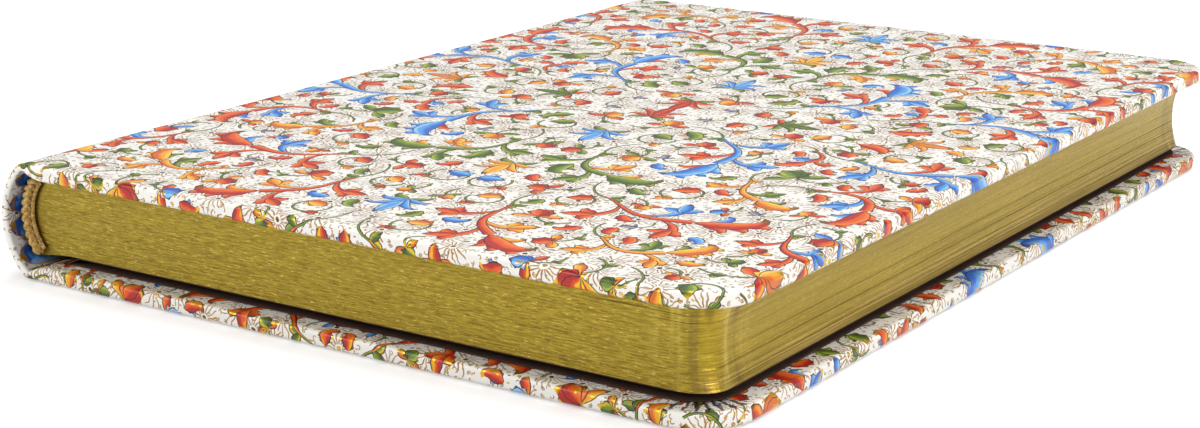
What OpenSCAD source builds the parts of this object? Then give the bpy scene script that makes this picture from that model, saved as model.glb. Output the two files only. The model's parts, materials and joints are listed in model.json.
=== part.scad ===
// Case-bound journal with a rounded back, lying closed on its back cover.
// X runs from the spine to the fore-edge, Y from the tail to the head, Z up.
// Sizes are first given with x = 0 at the fold between the spine and the covers.

/* [Book] */
// Width of each cover, from the spine fold to the fore-edge
cover_w = 127; // [100:1:180]
// Height of the covers, from the tail to the head
cover_h = 178; // [140:1:260]
// Radius of the two outer corners of each cover
cover_corner_r = 9; // [5:0.5:14]

/* [Cover] */
// Thickness of the board inside each cover
board_t = 2; // [1.5:0.1:3]
// Rounding along the outer edges of the board
board_edge_r = 0.42; // [0.2:0.02:0.7]
// Thickness of the printed cover paper
paper_t = 0.2; // [0.12:0.02:0.3]
// Width of the cover paper where it is turned in over the board
turn_in = 14; // [10:1:20]
// Number of creases between the pleats of the paper turned in round each corner
crease_count = 7; // [3:1:9]
// Width of each crease
crease_w = 0.25; // [0.15:0.05:0.4]
// Depth of each crease
crease_depth = 0.1; // [0.04:0.02:0.1]
// Distance from the spine fold to the edge of the board
joint_w = 4.5; // [4:0.1:8]
// Distance from the spine fold to the line that a cover turns about
hinge_x = 0.7; // [0.5:0.05:1.2]
// Thickness of the pastedown on the inside of each cover
pastedown_t = 0.2; // [0.12:0.02:0.3]

/* [Spine] */
// How far the round spine stands out behind the covers
spine_bulge = 4.7; // [3.5:0.1:7]
// Thickness of the card that stiffens the spine
inlay_t = 0.7; // [0.4:0.05:1]
// Distance from the spine fold to the edge of that card, along the curve
inlay_margin = 1.6; // [1:0.1:3]
// Clear depth of the hollow between the spine and the back of the pages
hollow = 1.45; // [1.2:0.05:4]

/* [Pages] */
// Thickness of all the pages together
block_t = 11.8; // [8:0.1:30]
// How far the covers stand out past the pages at the fore-edge
square_fore = 3.6; // [2:0.1:6]
// How far the covers stand out past the pages at the head and the tail
square_ends = 3.6; // [3:0.1:6]
// Radius of the two outer corners of the pages
leaf_corner_r = 8; // [4:0.5:12]
// Depth of the hollow fore-edge
fore_hollow = 1.1; // [0.5:0.1:2.5]
// Depth of the rounded back
back_round = 2.3; // [1.5:0.1:4]
// How far the backed shoulders rise above and below the pages
shoulder_rise = 0.85; // [0.4:0.05:1]
// Thickness of each flyleaf
leaf_t = 0.15; // [0.1:0.01:0.25]

/* [Bands] */
// Radius of the braided bead of the headband and the tailband
bead_r = 0.85; // [0.6:0.05:1.2]
// Thickness of the tape that carries the bead
tape_t = 0.25; // [0.15:0.05:0.4]
// Length of that tape down the back of the pages
tape_l = 9; // [6:1:14]
// Thickness of the lining glued to the back of the pages
lining_t = 0.35; // [0.2:0.05:0.6]

/* [Clearances] */
// Glue line between pieces that nest in each other
glue_gap = 0.02; // [0.01:0.01:0.05]
// Open gap between the back flyleaf and the back cover
lower_gap = 1; // [0.4:0.1:2]
// Open gap between the front flyleaf and the front cover
upper_gap = 0.1; // [0.1:0.05:0.5]
// Gap between the pages and each flyleaf
leaf_gap = 0.08; // [0.05:0.01:0.2]
// Running gap between a turning cover and the fixed strip of its joint
joint_gap = 0.15; // [0.1:0.05:0.3]

/* [Hidden] */

paper_colour = [0.90, 0.86, 0.78];
board_colour = [0.60, 0.54, 0.44];
gilt_colour = [0.66, 0.54, 0.16];
endpaper_colour = [0.16, 0.10, 0.07];
band_colour = [0.55, 0.38, 0.12];
lining_colour = [0.85, 0.82, 0.74];
card_colour = [0.55, 0.50, 0.42];

// One cover, counted inwards from its outer face
board_z = paper_t + glue_gap;
turn_z = board_z + board_t + glue_gap;
wrap_t = turn_z + paper_t;
pastedown_z = wrap_t + glue_gap;
cover_t = pastedown_z + pastedown_t;
wrap_edge_r = board_edge_r + glue_gap + paper_t;

// Levels of the closed book, counted upwards
back_leaf_z = cover_t + lower_gap;
block_z = back_leaf_z + leaf_t + leaf_gap;
block_top_z = block_z + block_t;
front_leaf_z = block_top_z + leaf_gap;
book_t = front_leaf_z + leaf_t + upper_gap + cover_t;
mid_z = book_t / 2;
block_mid_z = block_z + block_t / 2;

// Round shell of the spine, whose ends lie on the two folds
spine_r = (pow(spine_bulge, 2) + pow(mid_z, 2)) / (2 * spine_bulge);
spine_x = spine_r - spine_bulge;
spine_half_angle = asin(mid_z / spine_r);
inlay_r = spine_r - paper_t - glue_gap;
inlay_half_angle = spine_half_angle - inlay_margin * 180 / (PI * inlay_r);
spine_turn_r = inlay_r - inlay_t - glue_gap;
spine_inner_r = spine_turn_r - paper_t;
spine_turn_half_angle = inlay_half_angle + (glue_gap + paper_t) * 180 / (PI * inlay_r);

// A cover turns about the middle of its own thickness, clear of the strip along its joint
hinge_reach = joint_w - hinge_x - joint_gap;
strip_end_x = hinge_x + sqrt(pow(hinge_reach, 2) - pow(cover_t / 2, 2));

// Rounded and backed pages
leaf_half_h = cover_h / 2 - square_ends;
leaf_fore_x = cover_w - square_fore;
back_mid_x = -spine_bulge + (spine_r - spine_inner_r) + hollow;
back_x = back_mid_x + back_round;
back_half_t = block_t / 2 + shoulder_rise;
back_r = (pow(back_round, 2) + pow(back_half_t, 2)) / (2 * back_round);
back_centre_x = back_mid_x + back_r;
back_half_angle = asin(back_half_t / back_r);
fore_r = (pow(fore_hollow, 2) + pow(block_t / 2, 2)) / (2 * fore_hollow);
fore_half_angle = asin(block_t / 2 / fore_r);
fore_centre_x = leaf_fore_x + fore_r * cos(fore_half_angle);

// How far a cut runs past the piece that it opens, in millimetres and in degrees
past = 1;

// Smoothness of the sections through the pages
corner_steps = 10;
fore_steps = 12;
back_steps = 20;
shoulder_steps = 6;
small_fn = 32;
$fn = 96;

// Moves the book from its spine fold to the middle of its underside
module in_row_frame() {
    translate([-(cover_w - spine_bulge) / 2, 0, 0])
        children();
}

// Turns a back cover piece over into the same piece of the front cover
module as_front() {
    translate([0, 0, book_t])
        mirror([0, 0, 1])
            children();
}

// Section of a slab from u = 0 out to its rounded edge
module slab_edge_section(reach, t, edge_r) {
    square([reach - edge_r, t]);
    translate([0, edge_r])
        square([reach, t - 2 * edge_r]);
    for (v = [edge_r, t - edge_r])
        translate([reach - edge_r, v])
            circle(r = edge_r, $fn = small_fn);
}

// Slab with rounded edges and two rounded outer corners, straight at the spine side
module cover_slab(x0, x1, half_h, t, corner_r, edge_r) {
    run_h = half_h - corner_r;
    run_x = x1 - corner_r;
    translate([x0, -run_h, 0])
        cube([run_x - x0, 2 * run_h, t]);
    translate([run_x, run_h, 0])
        rotate([90, 0, 0])
            linear_extrude(2 * run_h)
                slab_edge_section(corner_r, t, edge_r);
    for (side = [0, 1])
        mirror([0, side, 0]) {
            translate([x0, run_h, 0])
                rotate([90, 0, 90])
                    linear_extrude(run_x - x0)
                        slab_edge_section(corner_r, t, edge_r);
            translate([run_x, run_h, 0])
                rotate_extrude(angle = 90)
                    slab_edge_section(corner_r, t, edge_r);
        }
}

// Flat sheet with two rounded outer corners
module leaf_sheet(x0, x1, half_h, t, corner_r) {
    linear_extrude(t) {
        translate([x0, -half_h])
            square([x1 - corner_r - x0, 2 * half_h]);
        translate([x0, corner_r - half_h])
            square([x1 - x0, 2 * (half_h - corner_r)]);
        for (side = [-1, 1])
            translate([x1 - corner_r, side * (half_h - corner_r)])
                circle(r = corner_r);
    }
}

// Band bent round an axis along Y, centred on the spine side
module bent_band(centre_x, centre_z, half_angle) {
    translate([centre_x, 0, centre_z])
        rotate([90, 0, 0])
            rotate([0, 0, 180 - half_angle])
                rotate_extrude(angle = 2 * half_angle)
                    children();
}

// Section of a bent band: its inner radius, outer radius and half its height
module band_section(r0, r1, half_h) {
    translate([r0, -half_h])
        square([r1 - r0, 2 * half_h]);
}

// The board of a cover
module board() {
    inset = paper_t + glue_gap;
    translate([0, 0, board_z])
        cover_slab(joint_w, cover_w - inset, cover_h / 2 - inset, board_t,
                   cover_corner_r - inset, board_edge_r);
}

// The opening that the turned-in paper leaves on the inside of a cover, from x0 outwards
module turn_in_window(x0, inset) {
    window_half_h = cover_h / 2 - turn_in - inset;
    translate([x0, -window_half_h, 0])
        square([cover_w - turn_in - inset - x0, 2 * window_half_h]);
}

// Creases of the turned-in paper, which run out from the middle of each rounded corner
module corner_creases() {
    crease_l = (cover_corner_r - wrap_edge_r) * 3 / 4;
    crease_start = cover_corner_r - wrap_edge_r - crease_l;
    for (side = [0, 1], i = [1:crease_count])
        mirror([0, side, 0])
            translate([cover_w - cover_corner_r, cover_h / 2 - cover_corner_r, 0])
                rotate([0, 0, 90 * i / (crease_count + 1)])
                    translate([crease_start, -crease_w / 2, wrap_t - crease_depth])
                        cube([crease_l, crease_w, crease_depth + past]);
}

// Printed paper over one board: outer face, edges and turned-in margin
module cover_paper() {
    difference() {
        cover_slab(joint_w, cover_w, cover_h / 2, wrap_t, cover_corner_r, wrap_edge_r);
        translate([0, 0, paper_t])
            cover_slab(joint_w - past, cover_w - paper_t, cover_h / 2 - paper_t,
                       board_t + 2 * glue_gap, cover_corner_r - paper_t,
                       board_edge_r + glue_gap);
        translate([0, 0, turn_z - glue_gap / 2])
            linear_extrude(paper_t + past)
                turn_in_window(joint_w - past, 0);
        corner_creases();
    }
}

// Sheet glued over the inside of a cover, which fills the window of the turned-in paper
module pastedown() {
    translate([0, 0, pastedown_z])
        leaf_sheet(joint_w, leaf_fore_x, leaf_half_h, pastedown_t, leaf_corner_r);
    translate([0, 0, turn_z])
        linear_extrude(paper_t + glue_gap)
            turn_in_window(joint_w, glue_gap);
}

// Depth of the hollow fore-edge at a height above the middle of the pages
function fore_x(v) = fore_centre_x - sqrt(pow(fore_r, 2) - pow(v, 2));

// Rise of a shoulder from its foot, t = 0, to its tip, t = 1
function shoulder_z(t) = shoulder_rise * (1 - cos(180 * t)) / 2;

// Section through the pages in X and Z, with the fore-edge drawn in by cut
function page_section(cut) = concat(
    [for (i = [0:fore_steps])
        let (v = block_t * (i / fore_steps - 0.5))
        [fore_x(v) - cut, block_mid_z + v]],
    [for (i = [0:shoulder_steps - 1])
        let (t = i / shoulder_steps)
        [joint_w + (back_x - joint_w) * t, block_top_z + shoulder_z(t)]],
    [for (i = [0:back_steps])
        let (a = 180 - back_half_angle + 2 * back_half_angle * i / back_steps)
        [back_centre_x + back_r * cos(a), block_mid_z + back_r * sin(a)]],
    [for (i = [shoulder_steps - 1:-1:0])
        let (t = i / shoulder_steps)
        [joint_w + (back_x - joint_w) * t, block_z - shoulder_z(t)]]
);

// Heights of the sections, with how far each one's fore-edge is drawn in by the corner
corner_stations = [for (i = [0:corner_steps])
    let (a = 90 * i / corner_steps)
    [leaf_half_h - leaf_corner_r * (1 - sin(a)), leaf_corner_r * (1 - cos(a))]];
page_stations = concat(
    [for (i = [corner_steps:-1:0]) [-corner_stations[i][0], corner_stations[i][1]]],
    corner_stations
);

// The pages, lofted through their sections: every leaf keeps its rounded corners
module page_block() {
    ring = len(page_section(0));
    last = len(page_stations) - 1;
    points = [for (s = page_stations) for (p = page_section(s[1])) [p[0], s[0], p[1]]];
    sides = [for (k = [0:last - 1]) for (i = [0:ring - 1])
        let (j = (i + 1) % ring)
        [k * ring + i, k * ring + j, (k + 1) * ring + j, (k + 1) * ring + i]];
    tail_face = [for (i = [ring - 1:-1:0]) i];
    head_face = [for (i = [0:ring - 1]) last * ring + i];
    color(gilt_colour)
        in_row_frame()
            polyhedron(points, concat([tail_face], sides, [head_face]), convexity = 4);
}

module front_flyleaf() {
    color(endpaper_colour)
        in_row_frame()
            translate([0, 0, front_leaf_z])
                leaf_sheet(joint_w, leaf_fore_x, leaf_half_h, leaf_t, leaf_corner_r);
}

module back_flyleaf() {
    color(endpaper_colour)
        in_row_frame()
            translate([0, 0, back_leaf_z])
                leaf_sheet(joint_w, leaf_fore_x, leaf_half_h, leaf_t, leaf_corner_r);
}

// Braided bead on the end of the pages, carried by a tape glued down their back
module end_band() {
    bead_y = leaf_half_h + glue_gap + bead_r;
    tape_r = back_r + glue_gap;
    bent_band(back_centre_x, block_mid_z, back_half_angle) {
        translate([back_r - bead_r / 2, -bead_y])
            circle(r = bead_r, $fn = small_fn);
        translate([tape_r, -bead_y])
            square([tape_t, tape_l + bead_r]);
    }
}

module headband() {
    color(band_colour)
        in_row_frame()
            end_band();
}

module tailband() {
    color(band_colour)
        in_row_frame()
            mirror([0, 1, 0])
                end_band();
}

// Cloth and paper glued down the back of the pages between the two tapes
module spine_lining() {
    lining_half_h = leaf_half_h - tape_l - glue_gap;
    lining_r = back_r + glue_gap;
    color(lining_colour)
        in_row_frame()
            bent_band(back_centre_x, block_mid_z, back_half_angle)
                band_section(lining_r, lining_r + lining_t, lining_half_h);
}

// Card that stiffens the round spine
module spine_inlay() {
    color(card_colour)
        in_row_frame()
            bent_band(spine_x, mid_z, inlay_half_angle)
                band_section(inlay_r - inlay_t, inlay_r, cover_h / 2 - paper_t - glue_gap);
}

// Round back of the case with its two flat joints, each face set in by the inset
module spine_core(inset, half_h, x_end) {
    x_start = -spine_bulge - past;
    intersection() {
        translate([spine_x, 0, mid_z])
            rotate([90, 0, 0])
                cylinder(r = spine_r - inset, h = 2 * half_h, center = true);
        translate([x_start, -half_h, inset])
            cube([x_end - x_start, 2 * half_h, book_t - 2 * inset]);
    }
}

// Cover paper doubled over itself where it is turned in along one joint
module joint_turn_in() {
    fold_x = 2 * paper_t;
    for (side = [0, 1])
        mirror([0, side, 0])
            translate([fold_x, cover_h / 2 - turn_in, paper_t / 2])
                cube([strip_end_x - fold_x, turn_in, paper_t * 3 / 2]);
}

// Section of the paper turned in over one end of the spine card, from the skin to its inner edge
module spine_turn_section() {
    skin_r = spine_r - paper_t / 2;
    end_y = cover_h / 2;
    polygon([
        [spine_inner_r, end_y - turn_in],
        [spine_turn_r, end_y - turn_in],
        [spine_turn_r, end_y - paper_t],
        [skin_r, end_y - paper_t],
        [skin_r, end_y],
        [spine_inner_r, end_y]
    ]);
}

// Cover paper turned in round both ends of the spine card
module spine_turn_in() {
    for (side = [0, 1])
        mirror([0, side, 0])
            bent_band(spine_x, mid_z, spine_turn_half_angle)
                spine_turn_section();
}

// Printed paper round the spine card and along both joints
module spine_paper() {
    color(paper_colour)
        in_row_frame() {
            difference() {
                spine_core(0, cover_h / 2, strip_end_x);
                spine_core(paper_t, cover_h / 2 + past, strip_end_x + past);
            }
            spine_turn_in();
            joint_turn_in();
            as_front()
                joint_turn_in();
        }
}

module back_board() {
    color(board_colour)
        in_row_frame()
            board();
}

module back_cover_paper() {
    color(paper_colour)
        in_row_frame()
            cover_paper();
}

module back_pastedown() {
    color(endpaper_colour)
        in_row_frame()
            pastedown();
}

module front_board() {
    color(board_colour)
        in_row_frame()
            as_front()
                board();
}

module front_cover_paper() {
    color(paper_colour)
        in_row_frame()
            as_front()
                cover_paper();
}

module front_pastedown() {
    color(endpaper_colour)
        in_row_frame()
            as_front()
                pastedown();
}

page_block();
front_flyleaf();
back_flyleaf();
headband();
tailband();
spine_lining();
spine_inlay();
spine_paper();
front_board();
front_cover_paper();
front_pastedown();
back_board();
back_cover_paper();
back_pastedown();
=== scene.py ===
# %% [markdown]
# # A journal bound in printed paper, with gilt page edges
# The CAD model gives every piece its place and its motion. This script loads it as a fixed frame,
# gives each piece the look of the real thing, and sets up the light and the camera.
# Lengths are written in millimetres and turned into metres by MM where a mesh is made.

# %% Load the frame
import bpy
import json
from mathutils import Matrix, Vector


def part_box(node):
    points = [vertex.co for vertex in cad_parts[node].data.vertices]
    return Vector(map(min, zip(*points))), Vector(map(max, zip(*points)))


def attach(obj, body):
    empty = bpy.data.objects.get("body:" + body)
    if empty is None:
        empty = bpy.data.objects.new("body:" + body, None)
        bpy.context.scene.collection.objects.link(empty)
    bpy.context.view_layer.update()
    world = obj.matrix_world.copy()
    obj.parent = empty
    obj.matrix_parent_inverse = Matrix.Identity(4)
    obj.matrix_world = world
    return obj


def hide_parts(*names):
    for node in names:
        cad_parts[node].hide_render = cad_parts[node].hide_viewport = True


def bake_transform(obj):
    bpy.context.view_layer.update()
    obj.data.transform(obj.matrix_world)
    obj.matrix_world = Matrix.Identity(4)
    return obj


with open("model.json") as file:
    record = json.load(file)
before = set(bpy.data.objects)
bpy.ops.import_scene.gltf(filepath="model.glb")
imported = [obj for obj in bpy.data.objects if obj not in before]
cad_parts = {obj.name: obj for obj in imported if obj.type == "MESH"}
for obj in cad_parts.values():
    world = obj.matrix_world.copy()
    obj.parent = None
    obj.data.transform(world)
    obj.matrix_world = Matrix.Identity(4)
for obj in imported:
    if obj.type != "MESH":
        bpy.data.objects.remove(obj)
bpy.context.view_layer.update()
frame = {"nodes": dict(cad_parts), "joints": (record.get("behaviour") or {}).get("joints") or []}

import bpy
import bmesh
import json
import math
import random
import numpy as np
from mathutils import Vector
from mathutils.geometry import delaunay_2d_cdt

MM = 0.001
FRONT_HINGE = frame["joints"][0]["pos_m"]

# %% [markdown]
# ## The sizes that everything is laid out from
# The case is the cover that was made apart from the pages: two boards and a spine strip under one sheet.
# Its sizes are read from the frame, so the new pieces stay with the CAD if a size there changes.

# %% Case sizes
HINGE_INSET = 0.7
FOLD_X = FRONT_HINGE[0] / MM - HINGE_INSET
cover_low, cover_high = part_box("front_cover_paper")
spine_low, spine_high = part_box("spine_paper")
CASE_T = cover_high.z / MM
COVER_W = cover_high.x / MM - FOLD_X
COVER_HALF_H = cover_high.y / MM
WRAP_T = (cover_high.z - cover_low.z) / MM
SPINE_BULGE = FOLD_X - spine_low.x / MM
SPINE_R = (SPINE_BULGE ** 2 + (CASE_T / 2) ** 2) / (2 * SPINE_BULGE)
HALF_ANGLE = math.asin(CASE_T / 2 / SPINE_R)
HALF_ARC = SPINE_R * HALF_ANGLE
SPINE_CENTRE = SPINE_R - SPINE_BULGE
SPINE_T, PAPER_T = 1.14, 0.2
JOINT_W, CORNER_R = 4.5, 9.0
print(f"cover {COVER_W:.1f} x {2 * COVER_HALF_H:.1f} mm, case {CASE_T:.2f} mm thick")
print(f"spine arc {2 * HALF_ARC:.1f} mm, on a radius of {SPINE_R:.1f} mm")

# %% [markdown]
# ## The printed scrollwork
# The real sheet is printed flat and glued round the boards afterwards, so the pattern is drawn flat too.
# It is a traditional kind of scrollwork in a layout of its own: leaves, buds and sprigs on curling stems.
# One quarter is drawn and mirrored about the middle of the cover, as the real design is.
# A blade is a curved centre line with a width on each side, and every motif is a few blades.

# %% Blades
QUARTER_U, QUARTER_V = 80.0, 100.0
BLOOMS = ("ground", "red", "amber", "green", "blue", "lilac")


class Blade:
    """A curved leaf: stations along a centre line, each with a half width to the left and to the right."""

    def __init__(self, start, heading, length, bend, hook, steps, bloom, left, right=None, sway=0.0, tipped=True):
        self.bloom, self.reach = BLOOMS.index(bloom), 1.0 if tipped else 0.7
        self.mid, self.turn = [], []
        x, y = start
        for i in range(steps + 1):
            t = i / steps
            turn = math.radians(heading + bend * t + hook * t ** 3 + sway * math.sin(2 * math.pi * t))
            self.mid.append((x, y))
            self.turn.append(turn)
            x += math.cos(turn) * length / steps
            y += math.sin(turn) * length / steps
        right = right or left
        curl = [abs(self.turn[min(i + 1, steps)] - self.turn[max(i - 1, 0)]) / 2 for i in range(steps + 1)]
        inner = [0.85 * length / steps / max(c, 1e-6) for c in curl]
        self.wide_l = [min(left(i / steps), inner[i]) for i in range(steps + 1)]
        self.wide_r = [min(right(i / steps), inner[i]) for i in range(steps + 1)]

    def at(self, t):
        i = min(int(t * (len(self.mid) - 1)), len(self.mid) - 2)
        return self.mid[i], math.degrees(self.turn[i])

    def rows(self):
        """The points of the left edge, of the centre line and of the right edge."""
        left = [(x - math.sin(a) * w, y + math.cos(a) * w)
                for (x, y), a, w in zip(self.mid, self.turn, self.wide_l)]
        right = [(x + math.sin(a) * w, y - math.cos(a) * w)
                 for (x, y), a, w in zip(self.mid, self.turn, self.wide_r)]
        return left, self.mid, right

    def discs(self):
        return [(x, y, max(a, b)) for (x, y), a, b in zip(self.mid, self.wide_l, self.wide_r)]


# %% Widths along a blade
def stem_width(width, tip=0.45):
    return lambda t: width * (1 - tip * t)


def leaf_width(width, stem=0.0, peak=0.55, lobes=0, neck=0.16):
    """Thin neck, full belly and pointed tip; lobes scallop the edge."""
    def at(t):
        if t <= stem:
            return neck
        s = (t - stem) / (1 - stem)
        belly = math.sin(math.pi * s ** (math.log(0.5) / math.log(peak))) ** 0.85 if s < 1 else 0.0
        scallop = 0.72 + 0.5 * abs(math.sin(math.pi * lobes * s)) if lobes else 1.0
        return neck * (1 - s) + 0.03 + width * belly * scallop
    return at


# %% Motifs
def tip_of(blade):
    return blade.mid[-1], math.degrees(blade.turn[-1])


def claw(spot, heading, length, bloom, width, points=3, spread=36):
    """The broken end of a leaf, or a flower's petals: a fan of points that curl away from each other."""
    blades = []
    for k in sorted(range(points), key=lambda k: abs(2 * k - points + 1)):
        lean = 2 * k / (points - 1) - 1
        blades.append(Blade(spot, heading + lean * spread, length * (1 - 0.28 * abs(lean)), lean * 20, lean * 80, 5,
                            bloom, leaf_width(width, 0, 0.5)))
    return blades


def acanthus(spot, heading, length, side, blooms, width, points):
    """A curled leaf whose outer edge breaks into hooked points, over a second leaf that turns the other way."""
    main = Blade(spot, heading, length, side * 30, side * rng.uniform(100, 150), 9, blooms[0],
                 leaf_width(width, 0, 0.45))
    blades = [main]
    for k in range(points):
        at, turn = main.at(0.16 + 0.2 * k)
        blades.append(Blade(at, turn - side * 24, length * (0.46 - 0.06 * k), -side * 24, -side * 80, 5,
                            blooms[0], leaf_width(width * 0.72, 0, 0.45)))
    at, turn = main.at(0.12)
    blades.append(Blade(at, turn + side * 30, length * 0.5, side * 50, side * 100, 6, blooms[1],
                        leaf_width(width * 0.6, 0, 0.45)))
    return blades


def frond(spot, heading, length, side, blooms, width, hooks):
    """A scroll of leaves: a swelling stem with a hooked, broken leaf to each side and a curled one at its end."""
    stem = Blade(spot, heading, length * 0.6, side * rng.uniform(20, 70), side * 15, 10, blooms[0],
                 lambda t: 0.24 + width * 0.46 * t, None, -side * 14, False)
    at, turn = tip_of(stem)
    blades = acanthus(at, turn - side * 6, length * 0.42, side, (blooms[0], blooms[1]), width, 3) + [stem]
    for k, (t, s) in enumerate(((0.78, -side), (0.50, side), (0.28, -side))[:hooks]):
        at, turn = stem.at(t)
        bloom = blooms[1] if k == 1 else blooms[0]
        branch = Blade(at, turn + s * 20, length * 0.22, s * rng.uniform(40, 70), s * 20, 6, bloom,
                       lambda t: 0.14 + width * 0.46 * t, None, 0.0, False)
        at, turn = tip_of(branch)
        blades += [branch] + claw(at, turn + s * 12, length * 0.17, bloom, width * 0.62, 3, 42)
    blades.append(Blade(spot, heading + 180 + side * 14, length * 0.34, -side * 80, 0, 7, "green",
                        stem_width(0.26, 0.3)))
    bud = "green" if blooms[1] != "green" else "amber"
    blades += claw(spot, heading + side * 50, length * 0.13, bud, width * 0.42, 2, 26)
    return blades


def poppy(spot, heading, length, side, blooms, width, hooks):
    """A flower on an arched green stem: a full head of petals and two leaves that hang from its neck."""
    stem = Blade(spot, heading, length * 0.62, side * rng.uniform(70, 130), 0, 9, "green", stem_width(0.24, 0.0))
    at, turn = tip_of(stem)
    blades = claw(at, turn, length * 0.34, blooms[0], width, 4, 33)
    for s in (-1, 1):
        blades.append(Blade(at, turn + s * 100, length * 0.34, -s * 30, s * 60, 6, blooms[1],
                            leaf_width(width * 0.62, 0, 0.6)))
    blades.append(stem)
    if hooks > 1:
        at, turn = stem.at(0.4)
        blades += claw(at, turn - side * 30, length * 0.18, "green", width * 0.45, 2, 24)
    return blades


def pod(spot, heading, length, side, blooms, width, hooks):
    """A lobed seed pod held inside the ring of its own green stem."""
    stem = Blade(spot, heading, length * 0.8, side * 250, 0, 14, "green", stem_width(0.24, 0.0))
    at, turn = tip_of(stem)
    blades = claw(at, turn + side * 52, length * 0.26, blooms[0], width * 0.8, 3, 20) + [stem]
    at, turn = stem.at(0.3)
    blades += claw(at, turn - side * 34, length * 0.2, blooms[1], width * 0.5, 2, 24)
    return blades


def sprig(spot, heading, length, side, blooms, width, hooks):
    """A small square flower head with two whiskers, on a hooked hair stem."""
    stem = Blade(spot, heading, length * 0.6, side * 120, 0, 8, "green", stem_width(0.18, 0.0))
    at, turn = tip_of(stem)
    blades = [Blade(at, turn, length * 0.30, 0, 0, 3, blooms[0], lambda t: width), stem]
    for s in (-1, 1):
        blades.append(Blade(at, turn + s * 70, length * 0.26, s * 20, -s * 60, 5, blooms[0],
                            leaf_width(width * 0.3, 0, 0.35)))
    return blades


# %% [markdown]
# Motifs are thrown at random spots and kept where they clear the ones already there, big ones first.
# The seed is fixed, so the layout is the same on every run. What is taken is kept as a grid of small
# squares, which is quick to test. Flowers that stand on the two mirror lines come first, because each
# is half of a symmetrical flower.

# %% Lay the motifs out
rng = random.Random(20)
SQUARE, PAD = 0.2, 12.0
filled = np.zeros((int((QUARTER_U + 2 * PAD) / SQUARE), int((QUARTER_V + 2 * PAD) / SQUARE)), bool)
motifs = []


def place(blades, clear, on_axis=False):
    """Keeps the motif if it clears the others and, unless it belongs there, the mirror lines."""
    spots = np.array([p for blade in blades for row in blade.rows() for p in row])
    if not on_axis and spots.min() < clear * 0.5:
        return False
    cells = ((spots + PAD) / SQUARE).astype(int)
    if cells.min() < 0 or (cells[:, 0] >= filled.shape[0]).any() or (cells[:, 1] >= filled.shape[1]).any():
        return False
    if filled[cells[:, 0], cells[:, 1]].any():
        return False
    for blade in blades:
        discs = np.array(blade.discs())
        for share in (0, 1 / 3, 2 / 3):
            for x, y, r in discs[:-1] * (1 - share) + discs[1:] * share:
                reach = r + clear
                i0, j0 = int((x - reach + PAD) / SQUARE), int((y - reach + PAD) / SQUARE)
                n = int(2 * reach / SQUARE) + 2
                ii, jj = np.mgrid[max(i0, 0):i0 + n, max(j0, 0):j0 + n]
                near = np.hypot(ii * SQUARE - PAD - x, jj * SQUARE - PAD - y) < reach
                ii, jj = ii[near], jj[near]
                fits = (ii < filled.shape[0]) & (jj < filled.shape[1])
                filled[ii[fits], jj[fits]] = True
    motifs.append(blades)
    return True


def axis_flower(spot, heading, length, bloom, width, s):
    """Half of a symmetrical flower on a mirror line; its other half is the mirror image."""
    blades = [Blade(spot, heading, length, 0, 0, 8, bloom, leaf_width(width, 0.1, 0.5))]
    sepal = "green" if bloom != "green" else "red"
    for lean, share, leaf_bloom in ((22, 0.85, bloom), (60, 0.6, bloom), (100, 0.5, sepal)):
        blades.append(Blade(spot, heading - s * lean, length * share, -s * 30, -s * 90, 8, leaf_bloom,
                            leaf_width(width * 0.62, 0, 0.45)))
    return blades


def lobe_width(width):
    """Widens evenly and ends in a round head."""
    return lambda t: 0.03 + width * math.sqrt(max(1 - max((t - 0.6) / 0.4, 0) ** 2, 0))


for u, lobe_w in ((66.9, 2.4), (72.1, 2.1)):
    lobe = Blade((u, 100.5), -90, 10.1, 0, 0, 16, "blue", lobe_width(lobe_w))
    print("lobe in the spine's end:", place([lobe], 0.12, True))
for k, bloom in enumerate(("red", "blue", "red", "amber", "red", "blue", "red")):
    place(axis_flower((0, 7 + 13 * k), 90 if k % 2 else 270, 8.5, bloom, 1.2, 1 if k % 2 else -1), 0.4, True)
for k, bloom in enumerate(("red", "green", "red", "amber", "red")):
    place(axis_flower((9 + 12 * k, 0), 0 if k % 2 else 180, 8.0, bloom, 1.1, -1 if k % 2 else 1), 0.4, True)
for angle, blooms in ((8, ("red", "amber")), (36, ("amber", "green")), (66, ("blue", "red"))):
    turn = math.radians(angle)
    place(frond((2.2 * math.cos(turn), 2.2 * math.sin(turn)), angle, 24, 1, blooms, 1.1, 2)[:-3], 0.3)
corner_motifs = (
    poppy((53.5, 78.5), 28, 15, -1, ("amber", "red"), 1.9, 2),
    frond((56.0, 58.0), 70, 22, -1, ("red", "blue"), 1.5, 3),
    poppy((40.0, 82.0), 20, 15, 1, ("red", "amber"), 1.5, 2),
    frond((33.0, 76.0), 20, 20, 1, ("green", "amber"), 1.4, 2),
)
for blades in corner_motifs:
    print("kept by the corner:", place(blades, 0.3))

PAIRS = (("red", "amber"), ("red", "green"), ("red", "blue"), ("red", "red"), ("amber", "red"), ("amber", "green"),
         ("green", "amber"), ("green", "green"), ("blue", "red"), ("red", "amber"))
LAYERS = (
    (frond, 26, 32, 1.7, 3, PAIRS, 6000, 0.34),
    (frond, 18, 24, 1.5, 3, PAIRS, 7000, 0.32),
    (pod, 15, 18, 1.5, 2, PAIRS, 500, 0.34),
    (poppy, 14, 18, 1.7, 2, PAIRS, 4000, 0.34),
    (frond, 12, 16, 1.25, 2, PAIRS, 9000, 0.32),
    (poppy, 10, 13, 1.35, 2, PAIRS, 7000, 0.32),
    (sprig, 6, 8, 0.7, 1, (("lilac", "lilac"),), 300, 0.34),
    (acanthus, 7, 10, 1.3, 3, PAIRS, 7000, 0.32),
    (poppy, 7, 9, 1.0, 1, PAIRS, 7000, 0.30),
    (acanthus, 4, 6, 1.0, 2, PAIRS, 9000, 0.28),
)


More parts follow.
